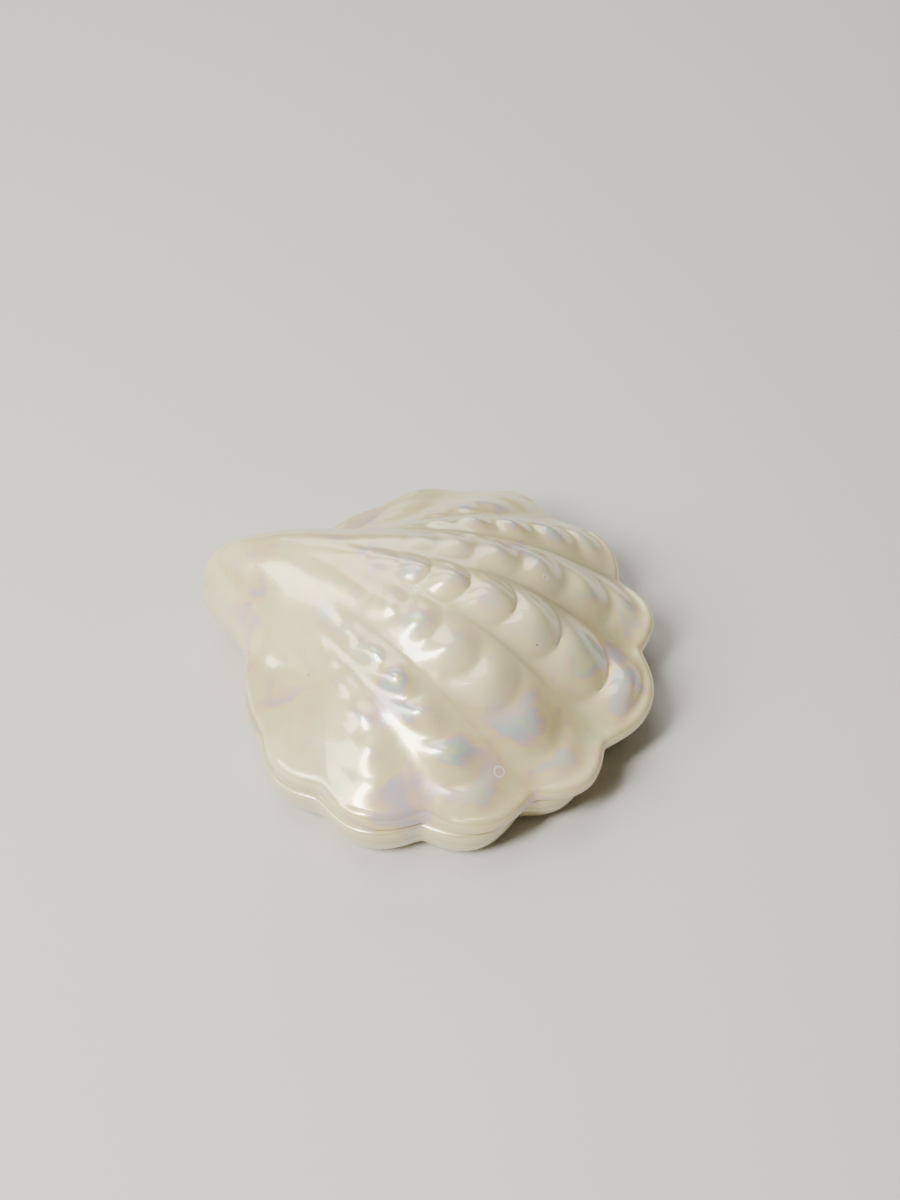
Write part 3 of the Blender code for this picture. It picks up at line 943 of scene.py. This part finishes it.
@dataclass
class RowMesh:
    """Closed skin laid over rows of points."""

    name: str
    sharp_angle_deg: float = 55.0
    rows: List[np.ndarray] = field(default_factory=list)

    def add(self, x: np.ndarray, y: np.ndarray, z: np.ndarray, film: np.ndarray, pool: np.ndarray
            ) -> None:
        """Add one row from its half on the +Y side.

        Args:
            x: Places along the part.
            y: Places across the part.
            z: Heights.
            film: Share of the lustre film's thickness at each point.
            shading: Share of painted shade at each point.
        """
        parts = [np.broadcast_to(value, x.shape) for value in (x, y, z, film, pool)]
        half = np.stack(parts, axis=1)
        mirror = np.array([1.0, -1.0, 1.0, 1.0, 1.0])
        self.rows.append(np.concatenate((half, half[-2:0:-1] * mirror)))

    def build(self, first_point: Triple, last_point: Triple, materials: Sequence[bpy.types.Material],
              bare_bands: int = 0) -> bpy.types.Object:
        """Make the skin as one closed object.

        Args:
            first_point: Point that closes the first row.
            last_point: Point that closes the last row.
            materials: Materials of the object.
            bare_bands: Bands from the start that take the second material.

        Returns:
            The new object.
        """
        points = np.concatenate(self.rows)
        around = len(self.rows[0])
        bands = len(self.rows) - 1
        here = np.arange(around)
        after = (here + 1) % around
        quads = np.concatenate([
            np.stack((band * around + here, band * around + after,
                      (band + 1) * around + after, (band + 1) * around + here), axis=1)
            for band in range(bands)
        ])
        first = len(points)
        last = bands * around
        caps = [(int(b), int(a), first) for a, b in zip(here, after)]
        caps += [(last + int(a), last + int(b), first + 1) for a, b in zip(here, after)]
        positions = np.concatenate((points[:, :3], (first_point, last_point)))
        mesh = bpy.data.meshes.new(self.name)
        mesh.from_pydata(positions.tolist(), [], quads.tolist() + caps)
        if self.volume(positions, quads) < 0.0:
            mesh.flip_normals()
        for column, kind in enumerate(GlazeMap, start=3):
            values = np.append(points[:, column], (points[0, column], points[-1, column]))
            layer = mesh.attributes.new(kind.value, "FLOAT", "POINT")
            layer.data.foreach_set("value", values.astype(np.float32))
        for material in materials:
            mesh.materials.append(material)
        index = np.zeros(len(mesh.polygons), dtype=np.int32)
        index[:bare_bands * around] = 1
        index[len(quads):len(quads) + around] = 1 if bare_bands else 0
        mesh.polygons.foreach_set("material_index", index)
        mesh.shade_smooth()
        mesh.set_sharp_from_angle(angle=np.radians(self.sharp_angle_deg))
        mesh.validate()
        thing = bpy.data.objects.new(self.name, mesh)
        bpy.context.scene.collection.objects.link(thing)
        return thing

    @staticmethod
    def volume(positions: np.ndarray, quads: np.ndarray) -> float:
        """Signed volume swept by the quads, whose sign tells which way they face."""
        a, b, c, d = (positions[quads[:, i]] for i in range(4))
        return float(np.sum(a * np.cross(b, c)) + np.sum(a * np.cross(c, d)))


@dataclass
class ShellBox:
    """Sizes that the lid and the base share."""

    plan: ShellPlan = field(default_factory=ShellPlan)
    base_height: float = 0.0133
    seam_gap: float = 0.0003
    rim_wall: float = 0.0045
    rays_per_rib: int = 36
    nose_rays: int = 36

    @property
    def rim(self) -> float:
        """Height of the lid's rim plane."""
        return self.base_height + self.seam_gap

    def half_rays(self) -> np.ndarray:
        """Rays from the middle of the fan to the nose.

        Returns:
            Ray numbers in order.
        """
        fan = np.linspace(0.0, self.plan.waist_ray, int(self.rays_per_rib * self.plan.waist_ray) + 1)
        nose = np.linspace(self.plan.waist_ray, self.plan.nose_ray, self.nose_rays + 1)[1:]
        return np.concatenate((fan, nose))

    def to_frame(self, plan_points: Plan) -> Plan:
        """Move plan points to the part's frame."""
        return plan_points[0] - self.plan.middle_x(), plan_points[1]


@dataclass
class Lid:
    """Lift-off lid with the nose, the ribs of beads and the scalloped edge.

    A glaze is a pair of film thickness and share of painted shade. A ring mark is a ray, a ring and
    a radius, and a pinhole is a ray and a ring; their rays below 0 lie on the -Y side.
    """

    box: ShellBox
    edge_height_fan: float = 0.0038
    edge_height_nose: float = 0.0052
    edge_from_ray: float = 4.2
    edge_blend: float = 0.0007
    edge_radius: float = 0.0020
    nose_squeeze_ring: float = 0.5
    rim_round: float = 0.0005
    wall: float = 0.0040
    tongue_depth: float = 0.0030
    tongue_wall: float = 0.0024
    tongue_clearance: float = 0.0008
    tongue_chamfer: float = 0.0004
    inside_floor: float = 0.0005
    inside_last_ring: float = 0.06
    slope_probe: float = 0.0005
    apex_rings: int = 16
    rings_per_bead: int = 17
    rounding_steps: int = 8
    rim_rows: int = 4
    inside_rings: int = 16
    # Second number of each glaze pair is a share of painted shade: under the lid's rim and inside it.
    rim_glaze: Pair = (0.3, 0.3)
    inside_glaze: Pair = (0.2, 0.1)
    plain_film: float = 0.25
    bead_film: float = 0.50
    # Painted shade along the valleys between ribs and at the beads' ends, where the creases fall into
    # shade.
    crease_shading: Tuple[float, ...] = (1.0, 1.0, 0.9, 0.5, 0.2, 0.0)
    crease_power: int = 5
    bead_end_power: int = 6
    bead_end_shading: float = 0.6
    most_shaded: float = 0.75
    beaded_rays: Pair = (3.3, 2.4)
    beaded_rings: Pair = (0.2, 0.5)
    ring_marks: Tuple[Triple, ...] = ((-1.60, 0.925, 0.0014), (0.79, 0.731, 0.0009), (-0.43, 0.470, 0.0008))
    pinholes: Tuple[Pair, ...] = ((-0.25, 0.750), (-3.55, 0.592))

    def __post_init__(self) -> None:
        """Make the smooth form and the relief from the shared plan."""
        self.dome = ShellDome(self.box.plan)
        self.relief = ShellRelief(self.box.plan)

    def top(self, ray: np.ndarray, ring: float, turn: float = 0.0) -> Points:
        """Points of the lid's top in the part's frame.

        Args:
            ray: Ray numbers.
            ring: Ring number that follows the beads' ends.
            turn: Angle round the edge's rounding, in radians, for rows past ring 1.

        Returns:
            Places along and across the part, and heights.
        """
        plan = self.box.plan
        edge = plan.lid_edge(ray)
        reach = plan.reach(edge)
        nose_share = smooth_step(self.edge_from_ray, plan.waist_ray, ray)
        lobe_start = self.relief.bead_ends[-2]
        start = lobe_start + (self.nose_squeeze_ring - lobe_start) * nose_share
        squeeze = (1.0 - self.edge_radius / reach - start) / (1.0 - start)
        share = ring - self.relief.sweep(ray, ring)
        share = np.where(share > start, start + (share - start) * squeeze, share)
        share = share + self.edge_radius * np.sin(turn) / reach
        x, y = plan.point(ray, share, edge)
        height = self.dome.height(x, y) + self.relief.height(ray, ring)
        edge_height = self.edge_height_fan + (self.edge_height_nose - self.edge_height_fan) * nose_share
        height = soft_maximum(height, edge_height, self.edge_blend)
        height = height - self.edge_radius * (1.0 - np.cos(turn))
        x, y = self.box.to_frame((x, y))
        return x, y, self.box.rim + height

    def top_glaze(self, ray: np.ndarray, ring: float) -> Tuple[np.ndarray, np.ndarray]:
        """Lustre film and painted shade on the top.

        Args:
            ray: Ray numbers.
            ring: Ring number that follows the beads' ends.

        Returns:
            Film thickness, whose colours repeat at every whole number, and share of painted shade.
        """
        mound = self.relief.mound(ray, ring)
        beaded = smooth_step(*self.beaded_rays, ray) * smooth_step(*self.beaded_rings, ring)
        film = self.plain_film + self.bead_film * beaded * mound
        # Painted shade: darkest at the valleys between ribs and at the beads' ends, fading on ribs near the
        # waist.
        crease = np.abs(2.0 * self.box.plan.rib_place(ray)[1]) ** self.crease_power
        crease = crease * np.interp(ray, np.arange(len(self.crease_shading)), self.crease_shading)
        crease = crease * self.relief.onset(ray, ring, self.beaded_rings)
        bead_end = (1.0 - mound) ** self.bead_end_power * beaded
        pool = self.most_shaded * np.maximum(crease, self.bead_end_shading * bead_end)
        return film, np.clip(pool, 0.0, 1.0)

    def mark(self, ray: float, ring: float, ring_radius: float = 0.0) -> GlazeMark:
        """Glaze mark on the top.

        Args:
            ray: Ray number.
            ring: Ring number.
            ring_radius: Radius of a ring mark, or 0 for a pinhole.

        Returns:
            The mark.
        """
        x, y, z = (float(value[0]) for value in self.top(np.array([abs(ray)]), ring))
        return GlazeMark((x, y if ray > 0.0 else -y, z), ring_radius)

    def add_inside_row(self, skin: RowMesh, ray: np.ndarray, ring: float) -> float:
        """Add a row of the lid's inside, a wall's thickness below the smooth form.

        Args:
            skin: Skin that takes the row.
            ray: Ray numbers.
            ring: Ring number.

        Returns:
            Height of the row's first point.
        """
        inset = self.box.rim_wall + self.tongue_clearance + self.tongue_wall
        x, y = self.box.plan.point(ray, ring, self.box.plan.base_edge(ray, -inset))
        probe = self.slope_probe
        height = self.dome.height
        slope_x = (height(x + probe, y) - height(x - probe, y)) / (2.0 * probe)
        slope_y = (height(x, y + probe) - height(x, y - probe)) / (2.0 * probe)
        inside = height(x, y) - self.wall * np.sqrt(1.0 + slope_x ** 2 + slope_y ** 2)
        inside = self.box.rim + np.maximum(inside, self.inside_floor)
        x, y = self.box.to_frame((x, y))
        skin.add(x, y, inside, *self.inside_glaze)
        return float(inside[0])

    def rings(self) -> np.ndarray:
        """Rings of the top, with one on every bead's end.

        Returns:
            Ring numbers in order.
        """
        ends = self.relief.bead_ends
        parts = [np.linspace(0.0, ends[0], self.apex_rings + 1)[1:]]
        for start, end in zip(ends, ends[1:]):
            parts.append(np.linspace(start, end, self.rings_per_bead + 1)[1:])
        return np.concatenate(parts)

    def tongue(self) -> Tuple[Pair, ...]:
        """Section of the locating tongue.

        Returns:
            Pairs of inset from the base's edge and depth below the rim.
        """
        outer = self.box.rim_wall + self.tongue_clearance
        inner = outer + self.tongue_wall
        depth = self.tongue_depth
        cut = self.tongue_chamfer
        return ((outer, 0.0), (outer, depth - cut), (outer + cut, depth), (inner - cut, depth),
                (inner, depth - cut))

    def build(self) -> bpy.types.Object:
        """Build the lid as one closed skin.

        Returns:
            The lid's object.
        """
        plan = self.box.plan
        rim = self.box.rim
        ray = self.box.half_rays()
        skin = RowMesh("shell_lid")
        for ring in self.rings():
            skin.add(*self.top(ray, ring), *self.top_glaze(ray, ring))
        for turn in np.linspace(0.0, 0.5 * np.pi, self.rounding_steps + 1)[1:]:
            skin.add(*self.top(ray, 1.0, turn), *self.top_glaze(ray, 1.0))
        for turn in np.linspace(0.0, 0.5 * np.pi, self.rim_rows):
            x, y = self.box.to_frame(plan.lid_edge(ray, -self.rim_round * (1.0 - np.cos(turn))))
            skin.add(x, y, rim + self.rim_round * (1.0 - np.sin(turn)), *self.rim_glaze)
        for inset, depth in self.tongue():
            x, y = self.box.to_frame(plan.base_edge(ray, -inset))
            skin.add(x, y, rim - depth, *self.inside_glaze)
        for ring in np.linspace(1.0, self.inside_last_ring, self.inside_rings):
            inner_height = self.add_inside_row(skin, ray, ring)
        apex_x = plan.apex_x - plan.middle_x()
        apex_height = float(self.dome.height(np.array([plan.apex_x]), np.zeros(1))[0])
        marks = [self.mark(*place) for place in self.ring_marks + self.pinholes]
        glaze = PearlGlaze("lid_pearl_glaze").build(marks)
        return skin.build((apex_x, 0.0, rim + apex_height), (apex_x, 0.0, inner_height), [glaze])

    def dress(self, piece: bpy.types.Object) -> None:
        """Put the piece in the lid's place."""
        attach(piece, "root")
        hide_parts("lid")


@dataclass
class Base:
    """Hollow lower half with its rounded lip and a body that curves in to the foot.

    The profile's points are an offset from the edge and a share of the height, and the cavity's
    are an inset from the rim's wall and a share of the depth. A glaze is a pair of film thickness
    and share of painted shade.
    """

    box: ShellBox
    floor_wall: float = 0.0042
    foot_insets: Tuple[float, ...] = (0.024, 0.014, 0.008)
    profile: Tuple[Pair, ...] = (
        (-0.0070, 0.0), (-0.0029, 0.105), (-0.0012, 0.227), (-0.0002, 0.390), (0.0005, 0.571),
        (0.0005, 0.647), (0.0010, 0.707), (0.00115, 0.797), (0.00115, 0.880), (0.0007, 0.965),
        (-0.0003, 1.0),
    )
    cavity: Tuple[Pair, ...] = ((0.0, 0.0), (0.0003, 0.60), (0.0015, 0.88), (0.0040, 1.00))
    outside_rows: int = 44
    inside_rows: int = 14
    film_strength: float = 0.4
    foot_glaze: Pair = (0.2, 0.2)
    side_film: Pair = (0.15, 0.30)
    # Painted shade: the whole outside of the base is darkened by this share.
    side_shading: float = 0.25
    cavity_glaze: Pair = (0.2, 0.15)

    def build(self) -> bpy.types.Object:
        """Build the base as one closed skin.

        Returns:
            The base's object.
        """
        plan = self.box.plan
        height = self.box.base_height
        ray = self.box.half_rays()
        skin = RowMesh("shell_base")
        for inset in self.foot_insets:
            x, y = self.box.to_frame(plan.base_edge(ray, -inset))
            skin.add(x, y, 0.0, *self.foot_glaze)
        for offset, share in zip(*smooth_profile(self.profile, self.outside_rows)):
            x, y = self.box.to_frame(plan.base_edge(ray, offset))
            film = self.side_film[0] + (self.side_film[1] - self.side_film[0]) * share
            skin.add(x, y, share * height, film, self.side_shading)
        depth = height - self.floor_wall
        for inset, share in zip(*smooth_profile(self.cavity, self.inside_rows)):
            x, y = self.box.to_frame(plan.base_edge(ray, -self.box.rim_wall - inset))
            skin.add(x, y, height - share * depth, *self.cavity_glaze)
        x = plan.fan_centre_x - plan.middle_x()
        glaze = PearlGlaze("base_pearl_glaze", film_strength=self.film_strength).build()
        return skin.build((x, 0.0, 0.0), (x, 0.0, self.floor_wall), [glaze, BareClay().build()],
                          bare_bands=len(self.foot_insets))

    def dress(self, piece: bpy.types.Object) -> None:
        """Put the piece in the base's place."""
        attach(piece, "root")
        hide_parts("base")


@dataclass
class Softbox:
    """Rectangular studio light that faces the shell."""

    name: str
    azimuth_deg: float
    elevation_deg: float
    distance: float
    size: Pair
    power: float
    colour: Triple = (1.0, 1.0, 1.0)

    def build(self, target: Vector) -> None:
        """Hang the light.

        Args:
            target: Point that it faces.
        """
        azimuth, elevation = np.radians(self.azimuth_deg), np.radians(self.elevation_deg)
        away = Vector((np.cos(elevation) * np.cos(azimuth), np.cos(elevation) * np.sin(azimuth),
                       np.sin(elevation)))
        data = bpy.data.lights.new(self.name, "AREA")
        data.shape = "RECTANGLE"
        data.size, data.size_y = self.size
        data.energy = self.power
        data.color = self.colour
        light = bpy.data.objects.new(self.name, data)
        light.location = target + away * self.distance
        light.rotation_euler = away.to_track_quat("Z", "Y").to_euler()
        bpy.context.scene.collection.objects.link(light)


@dataclass
class Studio:
    """Pale floor, soft lights and the camera at the photograph's viewing angle."""

    box: ShellBox
    pitch_deg: float = 48.86
    turn_deg: float = -20.98
    roll_deg: float = 1.23
    focal_px: float = 1802.0
    frame_px: Tuple[int, int] = (900, 1200)
    height_above_rim: float = 0.4017
    aim_plan_x: float = 0.070
    aim_px: Pair = (418.2, 645.8)
    sensor: float = 36.0
    floor_size: float = 6.0
    floor_colour: Colour = (0.62, 0.61, 0.59, 1.0)
    floor_roughness: float = 0.7
    room_colour: Colour = (1.0, 0.97, 0.92, 1.0)
    room_strength: float = 0.07
    lights: Tuple[Softbox, ...] = (
        Softbox("window_light", -116.0, 52.0, 1.0, (0.18, 0.52), 14.0, (1.0, 0.97, 0.90)),
        Softbox("left_light", 220.0, 34.0, 1.3, (0.9, 0.5), 13.0, (1.0, 0.96, 0.86)),
        Softbox("ceiling_light", 140.0, 72.0, 1.3, (0.7, 0.7), 6.5, (1.0, 0.97, 0.90)),
        Softbox("back_light", 112.0, 34.0, 1.3, (1.0, 0.6), 6.0, (1.0, 0.98, 0.94)),
    )

    def build_camera(self) -> None:
        """Stand the camera so that the aim point shows at its place in the photograph."""
        pitch, turn, roll = (np.radians(a) for a in (self.pitch_deg, self.turn_deg, self.roll_deg))
        forward = np.array([0.0, np.cos(pitch), -np.sin(pitch)])
        level = np.array([1.0, 0.0, 0.0])
        down = np.array([0.0, -np.sin(pitch), -np.cos(pitch)])
        right = level * np.cos(roll) + down * np.sin(roll)
        down = down * np.cos(roll) - level * np.sin(roll)
        across_px = self.aim_px[0] - self.frame_px[0] / 2
        down_px = self.aim_px[1] - self.frame_px[1] / 2
        sight = forward + across_px / self.focal_px * right + down_px / self.focal_px * down
        to_aim = sight * (self.height_above_rim / -sight[2])
        turned = np.array([[np.cos(turn), np.sin(turn), 0.0], [-np.sin(turn), np.cos(turn), 0.0],
                           [0.0, 0.0, 1.0]])
        aim = np.array([self.aim_plan_x - self.box.plan.middle_x(), 0.0, self.box.rim])
        place = aim - turned @ to_aim
        axes = [turned @ axis for axis in (right, -down, -forward)]
        data = bpy.data.cameras.new("photo_camera")
        data.sensor_fit = "VERTICAL"
        data.sensor_height = self.sensor
        data.lens = self.focal_px / self.frame_px[1] * self.sensor
        camera = bpy.data.objects.new("photo_camera", data)
        matrix = Matrix.Identity(4)
        for column, axis in enumerate(axes + [place]):
            for row in range(3):
                matrix[row][column] = axis[row]
        camera.matrix_world = matrix
        bpy.context.scene.collection.objects.link(camera)
        bpy.context.scene.camera = camera

    def build_floor(self) -> None:
        """Lay the pale floor."""
        half = self.floor_size / 2
        mesh = bpy.data.meshes.new("floor")
        corners = [(-half, -half, 0.0), (half, -half, 0.0), (half, half, 0.0), (-half, half, 0.0)]
        mesh.from_pydata(corners, [], [(0, 1, 2, 3)])
        material, _, shader = new_material("pale_floor", self.floor_colour)
        shader.inputs["Base Color"].default_value = self.floor_colour
        shader.inputs["Roughness"].default_value = self.floor_roughness
        mesh.materials.append(material)
        floor = bpy.data.objects.new("floor", mesh)
        bpy.context.scene.collection.objects.link(floor)

    def build(self) -> None:
        """Set up the whole studio."""
        world = bpy.data.worlds.new("soft_room")
        world.use_nodes = True
        background = world.node_tree.nodes["Background"]
        background.inputs["Color"].default_value = self.room_colour
        background.inputs["Strength"].default_value = self.room_strength
        bpy.context.scene.world = world
        self.build_floor()
        self.build_camera()
        for light in self.lights:
            light.build(Vector((0.0, 0.0, self.box.rim)))


def main() -> None:
    """Load the frame, build and dress both pieces, and set up the studio."""
    logging.basicConfig(level=logging.INFO, format="%(name)s: %(message)s")
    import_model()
    box = ShellBox()
    for part in (Base(box), Lid(box)):
        piece = part.build()
        part.dress(piece)
        LOG.info("%s has %d faces", piece.name, len(piece.data.polygons))
    Studio(box).build()


if __name__ == "__main__":
    main()
